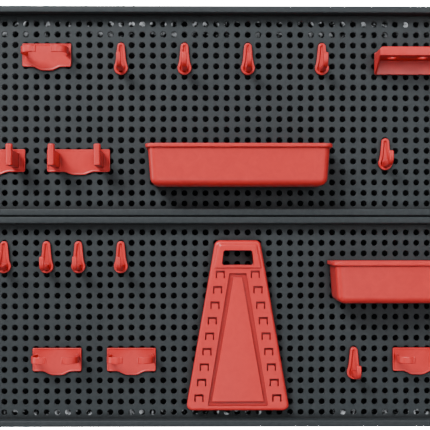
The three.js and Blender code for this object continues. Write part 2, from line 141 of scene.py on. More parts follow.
def tidy(mesh, sharp):
    """Merges doubles, makes all faces point out and shades smooth except at sharp edges."""
    work = bmesh.new()
    work.from_mesh(mesh)
    bmesh.ops.remove_doubles(work, verts=work.verts, dist=1e-7)
    bmesh.ops.recalc_face_normals(work, faces=work.faces)
    work.to_mesh(mesh)
    work.free()
    mesh.shade_smooth()
    mesh.set_sharp_from_angle(angle=math.radians(sharp))


def rounded(corners, steps=6):
    """A closed outline through corners (u, v, radius), anticlockwise, each corner an arc."""
    made = []
    count = len(corners)
    for i, (u, v, r) in enumerate(corners):
        at = np.array([u, v], float)
        before = np.array(corners[i - 1][:2], float) - at
        after = np.array(corners[(i + 1) % count][:2], float) - at
        before /= np.linalg.norm(before)
        after /= np.linalg.norm(after)
        half = math.acos(np.clip(before @ after, -1, 1)) / 2
        if r <= 0:
            made.append(at)
            continue
        middle = (before + after) / np.linalg.norm(before + after)
        centre = at + middle * r / math.sin(half)
        start = at + before * r / math.tan(half) - centre
        turn = math.pi - 2 * half
        if before[0] * after[1] - before[1] * after[0] > 0:
            turn = -turn
        for k in range(steps + 1):
            c, s = math.cos(turn * k / steps), math.sin(turn * k / steps)
            made.append(centre + [c * start[0] - s * start[1], s * start[0] + c * start[1]])
    return np.array(made)


def rectangle(u0, u1, v0, v1, low_r, high_r, steps=6):
    """A rectangle's outline with its own corner radius along its low and its high side."""
    return rounded([(u0, v0, low_r), (u1, v0, low_r), (u1, v1, high_r), (u0, v1, high_r)], steps)


def arc(u, v, r, start, end, steps):
    """Points along an arc around (u, v), its angles in degrees."""
    return [(u + r * math.cos(a), v + r * math.sin(a))
            for a in np.linspace(math.radians(start), math.radians(end), steps + 1)]


def circle(u, v, r, steps=24):
    angles = np.arange(steps) * 2 * math.pi / steps
    return np.stack([u + r * np.cos(angles), v + r * np.sin(angles)], 1)


def inset(outline, distance):
    """An anticlockwise outline moved inwards by distance, with mitred corners."""
    forward = np.roll(outline, -1, 0) - outline
    forward /= np.linalg.norm(forward, axis=1)[:, None]
    inward = np.stack([-forward[:, 1], forward[:, 0]], 1)
    last = np.roll(inward, 1, 0)
    mitre = (inward + last) / (1 + (inward * last).sum(1))[:, None]
    return outline + mitre * distance


def facing(outline, y):
    """An outline (x, z) seen from the front, at depth y."""
    return [(u, y, v) for u, v in outline]


def level(outline, z):
    """An outline (x, y) seen from above, at height z."""
    return [(u, v, z) for u, v in outline]


def quarter(radius, steps=4):
    """(inset, drop) pairs along a rounded edge, from the side wall to the face."""
    return [(radius * (1 - math.cos(a)), radius * (1 - math.sin(a)))
            for a in np.linspace(0, math.pi / 2, steps + 1)]


def slab(surface, outline, back, front, front_r, back_r=0.3):
    """A plate seen from the front, from y = back to y = front, with rounded edges."""
    rings = [facing(inset(outline, d), back - drop) for d, drop in reversed(quarter(back_r, 2))]
    rings += [facing(inset(outline, d), front + drop) for d, drop in quarter(front_r)]
    first, last = surface.loft(rings)
    surface.face(first)
    surface.face(last, flip=True)


def sideways_bar(surface, outline, x, width, edge_r):
    """An outline (reach towards the viewer, z) of the given width, centred on x, edges rounded."""
    half = width / 2
    turned = outline[::-1] * [-1, 1]
    rings = [[(x - half + drop, u, v) for u, v in inset(turned, d)]
             for d, drop in reversed(quarter(edge_r))]
    rings += [[(x + half - drop, u, v) for u, v in inset(turned, d)] for d, drop in quarter(edge_r)]
    first, last = surface.loft(rings)
    surface.face(first)
    surface.face(last, flip=True)


def lathe(surface, x, z, profile, steps=24):
    """A turned shape along Y through (x, z); profile is (radius, y), without its axis points."""
    rings = [facing(circle(x, z, r, steps), y) for r, y in profile]
    first, last = surface.loft(rings)
    surface.face(first)
    surface.face(last, flip=True)


def applied(obj):
    """The object's mesh with its modifiers applied."""
    graph = bpy.context.evaluated_depsgraph_get()
    made = bpy.data.meshes.new_from_object(obj.evaluated_get(graph))
    made.name = obj.name
    return made


def temporary(mesh, name):
    obj = bpy.data.objects.new(name, mesh)
    bpy.context.scene.collection.objects.link(obj)
    return obj


def moulded(surface, name, voxel, passes):
    """Fuses overlapping solids into one skin and softens every edge and root, as a moulding has."""
    obj = temporary(surface.mesh(name), name)
    remesh = obj.modifiers.new("fuse", "REMESH")
    remesh.mode = "VOXEL"
    remesh.voxel_size = voxel * MM
    soften = obj.modifiers.new("soften", "SMOOTH")
    soften.factor = 0.5
    soften.iterations = passes
    made = applied(obj)
    bpy.data.objects.remove(obj)
    made.shade_smooth()
    return made


def fused(surfaces, name, bevel, cuts=()):
    """The exact union of closed surfaces, less the cuts, with a small bevel along its sharp edges."""
    parts = [temporary(s.mesh(f"{name}_{i}"), f"{name}_{i}") for i, s in enumerate([*surfaces, *cuts])]
    whole = parts[0]
    for i, part in enumerate(parts[1:], 1):
        step = whole.modifiers.new("step", "BOOLEAN")
        step.operation = "UNION" if i < len(surfaces) else "DIFFERENCE"
        step.solver = "EXACT"
        step.object = part
    edge = whole.modifiers.new("edge", "BEVEL")
    edge.width = bevel * MM
    edge.segments = 2
    edge.limit_method = "ANGLE"
    edge.angle_limit = math.radians(SHARP)
    edge.use_clamp_overlap = True
    made = applied(whole)
    for part in parts:
        bpy.data.objects.remove(part)
    tidy(made, SHARP)
    return made


def piece(name, mesh, material, body, replaces=(), origin=(0, 0, 0)):
    """Places a finished mesh, origin in millimetres, and ties it to its CAD body and nodes."""
    obj = bpy.data.objects.new(name, mesh)
    bpy.context.scene.collection.objects.link(obj)
    obj.location = Vector(origin) * MM
    if not mesh.materials:
        mesh.materials.append(material)
    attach(obj, body)
    if replaces:
        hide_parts(*replaces)
    return obj


# ---------------------------------------------------------------- materials

NOISE_SPAN = (0.3, 0.7)
OPEN_SPAN = (0.42, 0.95)
PANEL_TONES = ((0.024, 0.031, 0.035), (0.033, 0.040, 0.044))
# painted shade: the near-black the panel's tone darkens to in corners and pockets
PANEL_PAINTED_SHADE = (0.006, 0.007, 0.008)
PANEL_PAINTED_SHADE_REACH = 12.0
RED_TONES = ((0.70, 0.028, 0.028), (0.76, 0.034, 0.032))
# painted shade: the dark red the red tone darkens to in corners and pockets
RED_PAINTED_SHADE = (0.34, 0.003, 0.004)
RED_PAINTED_SHADE_REACH = 20.0
ZINC_TONES = ((0.52, 0.53, 0.55), (0.66, 0.66, 0.67))


def new_material(name):
    """A new material, its node tree and its Principled shader."""
    material = bpy.data.materials.new(name)
    material.use_nodes = True
    tree = material.node_tree
    return material, tree, tree.nodes["Principled BSDF"]


def noise(tree, scale, detail=3.0, roughness=0.5, distortion=0.0):
    """Noise over the object's own coordinates; scale is in features per metre."""
    place = tree.nodes.new("ShaderNodeTexCoord")
    made = tree.nodes.new("ShaderNodeTexNoise")
    made.inputs["Scale"].default_value = scale
    made.inputs["Detail"].default_value = detail
    made.inputs["Roughness"].default_value = roughness
    made.inputs["Distortion"].default_value = distortion
    tree.links.new(place.outputs["Object"], made.inputs["Vector"])
    return made.outputs["Fac"]


def ranged(tree, value, span, low=0.0, high=1.0):
    """value mapped from its span (start, end) to low..high."""
    made = tree.nodes.new("ShaderNodeMapRange")
    made.inputs["From Min"].default_value, made.inputs["From Max"].default_value = span
    made.inputs["To Min"].default_value = low
    made.inputs["To Max"].default_value = high
    tree.links.new(value, made.inputs["Value"])
    return made.outputs["Result"]


def blended(tree, factor, tones):
    """A colour between the two tones."""
    made = tree.nodes.new("ShaderNodeMix")
    made.data_type = "RGBA"
    made.inputs["A"].default_value = (*tones[0], 1)
    made.inputs["B"].default_value = (*tones[1], 1)
    tree.links.new(factor, made.inputs["Factor"])
    return made.outputs["Result"]


def with_painted_shade(tree, colour, reach, shade):
    """The colour, darkening to a painted shade in corners and pockets whose sides are within reach (mm)."""
    open_sky = tree.nodes.new("ShaderNodeAmbientOcclusion")
    open_sky.samples = 8
    open_sky.inputs["Distance"].default_value = reach * MM
    made = tree.nodes.new("ShaderNodeMix")
    made.data_type = "RGBA"
    made.inputs["A"].default_value = (*shade, 1)
    tree.links.new(ranged(tree, open_sky.outputs["AO"], OPEN_SPAN), made.inputs["Factor"])
    tree.links.new(colour, made.inputs["B"])
    return made.outputs["Result"]


def combined(tree, operation, first, second):
    """One value from two, by a Math node's operation."""
    made = tree.nodes.new("ShaderNodeMath")
    made.operation = operation
    tree.links.new(first, made.inputs[0])
    tree.links.new(second, made.inputs[1])
    return made.outputs["Value"]


def bumped(tree, shader, layers):
    """Chains bump layers (height, strength, distance in mm) into the shader's normal."""
    normal = None
    for height, strength, distance in layers:
        made = tree.nodes.new("ShaderNodeBump")
        made.inputs["Strength"].default_value = strength
        made.inputs["Distance"].default_value = distance * MM
        tree.links.new(height, made.inputs["Height"])
        if normal is not None:
            tree.links.new(normal, made.inputs["Normal"])
        normal = made.outputs["Normal"]
    tree.links.new(normal, shader.inputs["Normal"])


def panel_plastic():
    """Dark grey panel plastic with a fine spark-eroded grain, a slightly mottled tone and painted shade in
    its corners.
    """
    material, tree, shader = new_material("panel_plastic")
    tone = blended(tree, ranged(tree, noise(tree, 160, 4, 0.6), NOISE_SPAN), PANEL_TONES)
    # painted shade: the tone darkens in corners, pockets and beside other parts
    shaded = with_painted_shade(tree, tone, PANEL_PAINTED_SHADE_REACH, PANEL_PAINTED_SHADE)
    tree.links.new(shaded, shader.inputs["Base Color"])
    gloss = ranged(tree, noise(tree, 420), NOISE_SPAN, 0.50, 0.64)
    tree.links.new(gloss, shader.inputs["Roughness"])
    shader.inputs["Specular IOR Level"].default_value = 0.38
    bumped(tree, shader, [(noise(tree, 1600, 2, 0.6), 0.35, 0.05), (noise(tree, 30, 2), 0.10, 0.4)])
    return material


def red_plastic():
    """Red moulded plastic: satin gloss, faint flow marks, a fine skin and painted shade in corners and
    pockets.
    """
    material, tree, shader = new_material("red_plastic")
    tone = blended(tree, ranged(tree, noise(tree, 55, distortion=1.5), NOISE_SPAN), RED_TONES)
    # painted shade: the tone darkens in corners, pockets and beside other parts
    shaded = with_painted_shade(tree, tone, RED_PAINTED_SHADE_REACH, RED_PAINTED_SHADE)
    tree.links.new(shaded, shader.inputs["Base Color"])
    gloss = ranged(tree, noise(tree, 260), NOISE_SPAN, 0.33, 0.41)
    tree.links.new(gloss, shader.inputs["Roughness"])
    shader.inputs["Specular IOR Level"].default_value = 0.5
    bumped(tree, shader, [(noise(tree, 900, 2), 0.12, 0.03), (noise(tree, 45, 2), 0.12, 0.25)])
    return material


def screw_zinc():
    """Zinc-plated steel with turning marks and a cloudy passivated film."""
    material, tree, shader = new_material("screw_zinc")
    tone = blended(tree, ranged(tree, noise(tree, 500), NOISE_SPAN), ZINC_TONES)
    tree.links.new(tone, shader.inputs["Base Color"])
    shader.inputs["Metallic"].default_value = 1.0
    gloss = ranged(tree, noise(tree, 900, 2), NOISE_SPAN, 0.28, 0.42)
    tree.links.new(gloss, shader.inputs["Roughness"])
    bumped(tree, shader, [(noise(tree, 2500, 2), 0.2, 0.02)])
    return material


# ---------------------------------------------------------------- panels

PANEL_SHARP = 40
SEGMENTS = 24
HOLE_EDGE = 0.35
OVERLAP = 0.5
FOOT_R = 4.5
FOOT_CHAMFER = 0.6
FOOT_COLUMNS = [-20.5, -10.5, -0.5, 9.5, 19.5]
FOOT_ROWS = [4.5, 12.5]
BOSS_R = 6.0
BOSS_BORE_R = 2.6
BOSS_CHAMFER = 0.5
BOSS_SEGMENTS = 32
SCREW_COLUMN = 29.5
SCREW_ROWS = [1.5, 15.5]
PAD_W = 12.0
PAD_COUNT = 5
PAD_SPACING = 210.0
PAD_R = 0.8
PAD_CHAMFER = 0.4
CORNER_R = 6.0
RECESS_R = 3.0
RIM_EDGE_R = 1.6
RIM_SIDE_BAND = 8.0


def row_height(top, row):
    """Height of a row of holes, counted from the top one, in the panel whose top is at z = top."""
    return top - RIM_W - MARGIN_TOP - row * PITCH


def cell_face(surface, hole, square, flip):
    """Triangles between a round hole and the eight points of the square cell around it."""
    sector = SEGMENTS // len(square)
    for k, corner in enumerate(square):
        following = square[(k + 1) % len(square)]
        edge = [hole[(k * sector + i) % SEGMENTS] for i in range(sector + 1)]
        fan = [(corner, edge[1], edge[0]), (corner, following, edge[1])]
        fan += [(following, edge[i + 1], edge[i]) for i in range(1, sector)]
        surface.faces.extend(tuple(reversed(f)) if flip else f for f in fan)


def perforated_field(name, low, high):
    """The recessed field: every peg hole with its softened edge, feet and bosses behind."""
    front = low[1] + RIM_PROUD
    back = front + FIELD_T
    tuck = RIM_W - SKIN / 2
    left, right = low[0] + tuck, high[0] - tuck
    bottom, top = low[2] + tuck, high[2] - tuck
    xs = [(c - (COLUMNS - 1) / 2) * PITCH for c in range(COLUMNS)]
    zs = [row_height(high[2], row) for row in range(ROWS)]
    surface = Surface()
    for i, x in enumerate(xs):
        x0 = left if i == 0 else x - PITCH / 2
        x1 = right if i == COLUMNS - 1 else x + PITCH / 2
        for j, z in enumerate(zs):
            z0 = bottom if j == ROWS - 1 else z - PITCH / 2
            z1 = top if j == 0 else z + PITCH / 2
            square = [(x1, z), (x1, z1), (x, z1), (x0, z1), (x0, z), (x0, z0), (x, z0), (x1, z0)]
            first, last = surface.loft([
                facing(circle(x, z, HOLE_R + HOLE_EDGE, SEGMENTS), front),
                facing(circle(x, z, HOLE_R, SEGMENTS), front + HOLE_EDGE),
                facing(circle(x, z, HOLE_R, SEGMENTS), back)])
            cell_face(surface, first, surface.ring(facing(square, front)), False)
            cell_face(surface, last, surface.ring(facing(square, back)), True)
    edge = rim_edge(left, right, bottom, top, xs, zs)
    surface.loft([facing(edge, front), facing(edge, back)])

    for column in FOOT_COLUMNS:
        for row in FOOT_ROWS:
            lathe(surface, column * PITCH, row_height(high[2], row),
                  [(FOOT_R, back - OVERLAP), (FOOT_R, -FOOT_CHAMFER), (FOOT_R - FOOT_CHAMFER, 0)])
    for x, z in screw_places(high[2]):
        boss(surface, x, z, back)
    return surface.mesh(name, PANEL_SHARP)


def rim_edge(left, right, bottom, top, xs, zs):
    """The field's outer edge, with a point at each hole row and column so that it meets the cells."""
    across = [left, *sorted({x for c in xs for x in (c, c + PITCH / 2)} - {xs[-1] + PITCH / 2}), right]
    heights = sorted({z for c in zs for z in (c, c + PITCH / 2)} - {zs[0] + PITCH / 2})
    up = [bottom, *heights, top]
    loop = [(x, bottom) for x in across[:-1]] + [(right, z) for z in up[:-1]]
    loop += [(x, top) for x in reversed(across[1:])] + [(left, z) for z in reversed(up[1:])]
    return np.array(loop)


def screw_places(top):
    """Centres of the four wall screws of the panel whose top is at z = top."""
    return [(side * SCREW_COLUMN * PITCH, row_height(top, row))
            for side in (-1, 1) for row in SCREW_ROWS]


def boss(surface, x, z, back):
    """A tubular screw boss from the field's back to the wall."""
    section = [(BOSS_R, back - OVERLAP), (BOSS_R, -BOSS_CHAMFER), (BOSS_R - BOSS_CHAMFER, 0),
               (BOSS_BORE_R, 0), (BOSS_BORE_R, back - OVERLAP)]
    surface.loft([facing(circle(x, z, r, BOSS_SEGMENTS), y) for r, y in section], closed=True)


def rim_frame(name, low, high):
    """The raised rim: a hollow channel around the field, with rounded edges and rest pads."""
    surface = Surface()
    front = low[1]

    def around(depth, y):
        r = CORNER_R + (RECESS_R - CORNER_R) * depth / RIM_W
        x0, x1 = low[0] + depth, high[0] - depth
        z0, z1 = low[2] + depth, high[2] - depth
        return facing(rectangle(x0, x1, z0, z1, r, r, 8), y)

    rings = [around(0, 0), around(0, front + RIM_EDGE_R + RIM_SIDE_BAND)]
    rings += [around(d, front + drop) for d, drop in quarter(RIM_EDGE_R)]
    rings += [around(RIM_W - d, front + drop) for d, drop in reversed(quarter(RIM_EDGE_R))]
    rings += [around(RIM_W, front + RIM_PROUD), around(RIM_W, front + RIM_PROUD + FIELD_T)]
    rings += [around(RIM_W - SKIN, front + RIM_PROUD + FIELD_T), around(RIM_W - SKIN, front + SKIN)]
    rings += [around(SKIN, front + SKIN), around(SKIN, 0)]
    surface.loft(rings, closed=True)

    half = (RIM_W - SKIN) / 2
    centre_x = (low[0] + high[0]) / 2
    places = [(centre_x + (i - (PAD_COUNT - 1) / 2) * PAD_SPACING, z, PAD_W / 2, half)
              for i in range(PAD_COUNT)
              for z in (low[2] + SKIN / 2 + half, high[2] - SKIN / 2 - half)]
    middle = (low[2] + high[2]) / 2
    places += [(x, middle, half, PAD_W / 2) for x in (low[0] + RIM_W / 2, high[0] - RIM_W / 2)]
    for x, z, half_x, half_z in places:
        outline = rectangle(x - half_x, x + half_x, z - half_z, z + half_z, PAD_R, PAD_R, 3)
        first, last = surface.loft([facing(outline, front + SKIN / 2), facing(outline, -PAD_CHAMFER),
                                    facing(inset(outline, PAD_CHAMFER), 0)])
        surface.face(first)
        surface.face(last)
    return surface.mesh(name, PANEL_SHARP)


# ---------------------------------------------------------------- screws

SCREW_HEAD_R = 4.5
SCREW_HEAD_H = 3.0
SCREW_SHANK_R = 2.1
SCREW_RIM = 0.8
SCREW_RIM_CHAMFER = 0.2
SCREW_SLOT_W = 1.2
SCREW_SLOT_DEPTH = 1.4


def screw_mesh(length):
    """A pan-head screw along Y, its head towards the viewer, the slot cut into the head."""
    surface = Surface()
    dome = [(SCREW_HEAD_R * math.cos(a), -SCREW_RIM - (SCREW_HEAD_H - SCREW_RIM) * math.sin(a))
            for a in np.linspace(0, math.radians(75), 7)]
    profile = [(SCREW_SHANK_R, length), (SCREW_SHANK_R, 0),
               (SCREW_HEAD_R - SCREW_RIM_CHAMFER, 0), (SCREW_HEAD_R, -SCREW_RIM_CHAMFER)]
    lathe(surface, 0, 0, profile + dome, 32)
    obj = temporary(surface.mesh("screw"), "screw")
    cutter = Surface()
    half_w, half_l = SCREW_SLOT_W / 2, SCREW_HEAD_R + OVERLAP
    slab(cutter, rectangle(-half_w, half_w, -half_l, half_l, 0, 0),
         SCREW_SLOT_DEPTH - SCREW_HEAD_H, -SCREW_HEAD_H - 2, 0.05, 0.05)
    tool = temporary(cutter.mesh("slot"), "slot")
    groove = obj.modifiers.new("slot", "BOOLEAN")
    groove.operation = "DIFFERENCE"
    groove.solver = "EXACT"
    groove.object = tool
    made = applied(obj)
    bpy.data.objects.remove(obj)
    bpy.data.objects.remove(tool)
    tidy(made, SHARP)
    return made


# ---------------------------------------------------------------- pegs

PEG_R = 3.0
PEG_TIP = 8.6
PEG_ROOT = -1.4
PEG_BARB = 0.5
PEG_CHAMFER = 0.9


def peg(surface, x, z, root=PEG_ROOT):
    """A peg through the field, with a slight barb behind it and a chamfered tip."""
    lathe(surface, x, z, [
        (PEG_R, root), (PEG_R, FIELD_T + 0.4), (PEG_R + PEG_BARB, FIELD_T + 1.4),
        (PEG_R + PEG_BARB, FIELD_T + 2.2), (PEG_R - PEG_CHAMFER, PEG_TIP)])


# ---------------------------------------------------------------- hook

HOOK_T = 4.5
HOOK_LOW_R = 9.8
HOOK_TOP_R = 5.4
HOOK_LOW_Z = -2.9
HOOK_TOP_Z = 27.1
HOOK_FLARE = 25.0
HOOK_PEG_DROP = 0.8
HOOK_REACH = 46.0
HOOK_W = 6.6
HOOK_BEND_R = 12.0
HOOK_BEND_Z = 4.0
HOOK_ARM_T = 5.0
HOOK_ARM_R = 1.4
HOOK_TIP_Z = 12.0
HOOK_WAIST = [(7.9, 4.6), (7.1, 9.5)]
HOOK_LIP = 2.9
HOOK_DISH = 2.1
PLATE_EDGE_R = 0.9


def teardrop():
    """The hook plate's outline: a round foot, a waist and a slimmer rounded top."""
    outline = arc(0, HOOK_LOW_Z, HOOK_LOW_R, 180 - HOOK_FLARE, 360 + HOOK_FLARE, 40)
    outline += HOOK_WAIST
    outline += arc(0, HOOK_TOP_Z, HOOK_TOP_R, 5, 175, 20)
    outline += [(-u, v) for u, v in reversed(HOOK_WAIST)]
    return np.array(outline)


def dished(surface, outline, thickness, lip, dish):
    """A plate on the field, with rounded edges and a lip around a dish of that slope and depth."""
    back, front = -PEG_GAP, -PEG_GAP - thickness
    rings = [facing(inset(outline, d), back - drop) for d, drop in reversed(quarter(BACK_EDGE_R, 2))]
    rings += [facing(inset(outline, d), front + drop) for d, drop in quarter(PLATE_EDGE_R)]
    rings += [facing(inset(outline, lip), front), facing(inset(outline, lip + dish), front + dish)]
    first, last = surface.loft(rings)
    surface.face(first)
    surface.face(last, flip=True)


def hook_mesh():
    """A teardrop plate with an arm that reaches out from its foot and turns up at its tip."""
    surface = Surface()
    dished(surface, teardrop(), HOOK_T, HOOK_LIP, HOOK_DISH)
    bend = HOOK_REACH - HOOK_BEND_R
    tip = HOOK_ARM_T / 2
    profile = [(2, HOOK_BEND_Z - HOOK_BEND_R)]
    profile += arc(bend, HOOK_BEND_Z, HOOK_BEND_R, -90, 0, 12)
    profile += arc(HOOK_REACH - tip, HOOK_TIP_Z - tip, tip, 0, 180, 8)
    profile += arc(bend, HOOK_BEND_Z, HOOK_BEND_R - HOOK_ARM_T, 0, -90, 8)
    profile += [(2, 0)]
    sideways_bar(surface, np.array(profile), 0, HOOK_W, HOOK_ARM_R)
    peg(surface, 0, 0)
    peg(surface, 0, 2 * PITCH - HOOK_PEG_DROP)
    return moulded(surface, "hook", voxel=0.42, passes=5)


# ---------------------------------------------------------------- clips and fork holders

PLATE_T = 3.0
PLATE_R = 2.6
PLATE_LIP = 1.6
BULGE_FLANK = 0.36
STRIP_END_T = 0.8
STRIP_END_H = 0.95


def bulged(width, low, high, bulge_w, bulge_drop):
    """A plate's outline with a shallow bulge in the middle of its lower edge."""
    half = width / 2
    outline = arc(-half + PLATE_R, low + PLATE_R, PLATE_R, 180, 270, 6)
    for x in np.linspace(-bulge_w / 2, bulge_w / 2, 25):
        t = min((bulge_w / 2 - abs(x)) / (bulge_w * BULGE_FLANK), 1)
        outline.append((x, low - bulge_drop * t * t * (3 - 2 * t)))
    outline += arc(half - PLATE_R, low + PLATE_R, PLATE_R, 270, 360, 6)
    r = PLATE_R / 2
    outline += arc(half - r, high - r, r, 0, 90, 5)
    outline += arc(-half + r, high - r, r, 90, 180, 5)
    return np.array(outline)


def three_pegs(surface):
    for column, row in ((-2, 1), (2, 1), (0, 0)):
        peg(surface, column * PITCH, row * PITCH)


def spline(points, steps):
    """Catmull-Rom points through the given ones, evenly spaced."""
    points = np.array(points, float)
    padded = np.vstack([2 * points[0] - points[1], points, 2 * points[-1] - points[-2]])
    fine = []
    for p0, p1, p2, p3 in zip(padded, padded[1:], padded[2:], padded[3:]):
        for t in np.linspace(0, 1, 24, endpoint=False):
            fine.append(0.5 * (2 * p1 + (p2 - p0) * t + (2 * p0 - 5 * p1 + 4 * p2 - p3) * t * t
                               + (3 * p1 - p0 - 3 * p2 + p3) * t ** 3))
    fine = np.array(fine + [points[-1]])
    run = np.concatenate([[0], np.cumsum(np.linalg.norm(np.diff(fine, axis=0), axis=1))])
    wanted = np.linspace(0, run[-1], steps + 1)
    return np.stack([np.interp(wanted, run, fine[:, k]) for k in range(fine.shape[1])], 1)


def upright_strip(surface, path, thickness, low, high, edge_r):
    """A strip standing on edge along a path seen from above, with rounded edges and ends."""
    along = np.gradient(path, axis=0)
    along /= np.linalg.norm(along, axis=1)[:, None]
    across = np.stack([-along[:, 1], along[:, 0]], 1)
    half_t, half_h = thickness / 2, (high - low) / 2
    middle = (high + low) / 2
    section = rectangle(-half_t, half_t, -half_h, half_h, edge_r, edge_r, 3)
    rings = []
    for i, (at, side) in enumerate(zip(path, across)):
        thin, short = (STRIP_END_T, STRIP_END_H) if i in (0, len(path) - 1) else (1, 1)
        rings.append([(*(at + side * u * thin), middle + v * short) for u, v in section])
    first, end = surface.loft(rings)
    surface.face(first)
    surface.face(end, flip=True)


CLIP_W = 69.0
CLIP_LOW_Z = -1.5
CLIP_HIGH_Z = 31.5
CLIP_BULGE_W = 42.0
CLIP_BULGE_DROP = 5.3
CLIP_REACH = 37.0
CLIP_JAW_H = 9.5
CLIP_JAW_Z = 18.0
CLIP_JAW_T = 2.4
CLIP_JAW_EDGE_R = 0.9
CLIP_GAP = 21.0
CLIP_ROOT = (28.0, -2.5)
CLIP_BELLY_X = 32.0
CLIP_SHOULDER_IN = 3.0
CLIP_SHOULDER_SHARE = 0.85
CLIP_CURL = [(9.0, 0.0), (2.2, 2.0), (0.0, 0.6)]
CLIP_DISH = 0.6


def clip_mesh():
    """A plate with two sprung jaws that curve out and in again to a narrow mouth."""
    surface = Surface()
    outline = bulged(CLIP_W, CLIP_LOW_Z, CLIP_HIGH_Z, CLIP_BULGE_W, CLIP_BULGE_DROP)
    dished(surface, outline, PLATE_T, PLATE_LIP, CLIP_DISH)
    tip = CLIP_GAP / 2
    front = -CLIP_REACH + CLIP_JAW_T / 2
    low, high = CLIP_JAW_Z - CLIP_JAW_H / 2, CLIP_JAW_Z + CLIP_JAW_H / 2
    shoulder = (CLIP_BELLY_X - CLIP_SHOULDER_IN, front * CLIP_SHOULDER_SHARE)
    jaw = [CLIP_ROOT, (CLIP_BELLY_X, front / 2), shoulder]
    jaw += [(tip + out, front + back) for out, back in CLIP_CURL]
    for side in (-1, 1):
        path = spline([(side * x, y) for x, y in jaw], 36)
        upright_strip(surface, path, CLIP_JAW_T, low, high, CLIP_JAW_EDGE_R)
    three_pegs(surface)
    return moulded(surface, "clip", voxel=0.45, passes=4)


FORK_W = 89.0
FORK_LOW_Z = -0.5
FORK_HIGH_Z = 31.5
FORK_BULGE_W = 44.0
FORK_BULGE_DROP = 4.2
FORK_REACH = 53.0
FORK_ARM_W = 9.6
FORK_ARM_EDGE_R = 0.8
FORK_ROOT_Y = -2.0
FORK_ROOT_R = 0.5
FORK_NOSE_FLAT = 0.4
FORK_SPACING = 62.6
FORK_ARM_LOW_Z = 5.5
FORK_ARM_TOP_Z = 26.5
FORK_TIP_Z = 35.0
FORK_TIP_T = 6.0
FORK_TIP_R = 0.8
FORK_TIP_EDGE_R = 1.2
FORK_DISH = 0.5


def upright(surface, outline, low, high, edge_r):
    """An outline seen from above, stood up from z = low to z = high, with rounded edges."""
    rings = [level(inset(outline, d), low + drop) for d, drop in reversed(quarter(edge_r, 3))]
    rings += [level(inset(outline, d), high - drop) for d, drop in quarter(edge_r, 3)]
    first, last = surface.loft(rings)
    surface.face(first, flip=True)
    surface.face(last)


def fork_mesh():
    """A plate with two arms: half-round columns in plan, each with its tip turned up."""
    surface = Surface()
    outline = bulged(FORK_W, FORK_LOW_Z, FORK_HIGH_Z, FORK_BULGE_W, FORK_BULGE_DROP)
    dished(surface, outline, PLATE_T, PLATE_LIP, FORK_DISH)
    half = FORK_ARM_W / 2
    nose = half - FORK_NOSE_FLAT
    for side in (-1, 1):
        x = side * FORK_SPACING / 2
        arm = rectangle(x - half, x + half, -FORK_REACH, FORK_ROOT_Y, nose, FORK_ROOT_R, 8)
        upright(surface, arm, FORK_ARM_LOW_Z, FORK_ARM_TOP_Z, FORK_ARM_EDGE_R)
        tip = rectangle(x - half, x + half, -FORK_REACH, -FORK_REACH + FORK_TIP_T, nose, FORK_TIP_R, 8)
        upright(surface, tip, FORK_ARM_TOP_Z - FORK_TIP_T, FORK_TIP_Z, FORK_TIP_EDGE_R)
    three_pegs(surface)
    return moulded(surface, "fork", voxel=0.5, passes=4)


# ---------------------------------------------------------------- tray

TRAY_W = 256.0
TRAY_REACH = 64.0
TRAY_TOP_Z = 50.0
TRAY_LOW_Z = -7.0
TRAY_WALL = 2.5
TRAY_LIP = 3.5
TRAY_LIP_H = 5.3
TRAY_LIP_EDGE = 0.8
TRAY_LIP_FILLET = [(0.0, 1.0), (0.6, 0.2)]
TRAY_MOUTH_EDGE = [(0.9, 0.0), (0.3, 0.3), (0.0, 0.9)]
TRAY_CORNER_R = 14.0
TRAY_BACK_R = 3.0
TRAY_FOOT_R = 10.0
TRAY_RIM_R = 1.4
TRAY_LEAST_R = 1.5
TRAY_DRAFT = 4.0
TRAY_PEG_COLUMN = 7


def tray_shell():
    """A long open tray: rolled lip, rounded front corners and floor edge."""
    surface = Surface()
    back = -PEG_GAP

    def plan(d, z):
        """The outline at height z, set in by d from the lip and by the walls' draft."""
        draft = TRAY_DRAFT * (TRAY_TOP_Z - z) / (TRAY_TOP_Z - TRAY_LOW_Z)
        half = TRAY_W / 2 - d - draft
        front = -TRAY_REACH + d + draft / 2
        rear = back - max(0, d - TRAY_LIP)
        r = max(TRAY_CORNER_R - d, TRAY_LEAST_R)
        return level(rectangle(-half, half, front, rear, r, min(TRAY_BACK_R, r), 10), z)

    top, low = TRAY_TOP_Z, TRAY_LOW_Z
    foot, wall = TRAY_FOOT_R, TRAY_WALL
    rings = [plan(TRAY_LIP + foot, low)]
    rings += [plan(TRAY_LIP + d, low + drop) for d, drop in reversed(quarter(foot, 8))]
    rings += [plan(TRAY_LIP - out, top - TRAY_LIP_H - below) for out, below in TRAY_LIP_FILLET]
    rings += [plan(TRAY_LIP_EDGE, top - TRAY_LIP_H), plan(0, top - TRAY_LIP_H + TRAY_LIP_EDGE)]
    rings += [plan(d, top - drop) for d, drop in quarter(TRAY_RIM_R)]
    inner = TRAY_LIP + wall
    rings += [plan(inner - out, top - below) for out, below in TRAY_MOUTH_EDGE]
    rings += [plan(inner + d, low + wall + drop) for d, drop in quarter(foot - wall, 6)]
    first, last = surface.loft(rings)
    surface.face(first, flip=True)
    surface.face(last)
    return surface


def tray_mesh():
    """The tray's shell with its four pegs."""
    parts = [tray_shell()]
    for side in (-1, 1):
        for row in (0, 2):
            pin = Surface()
            peg(pin, side * TRAY_PEG_COLUMN * PITCH, row * PITCH, PEG_ROOT - 0.1)
            parts.append(pin)
    return fused(parts, "tray", bevel=0.2)


# ---------------------------------------------------------------- spanner rack

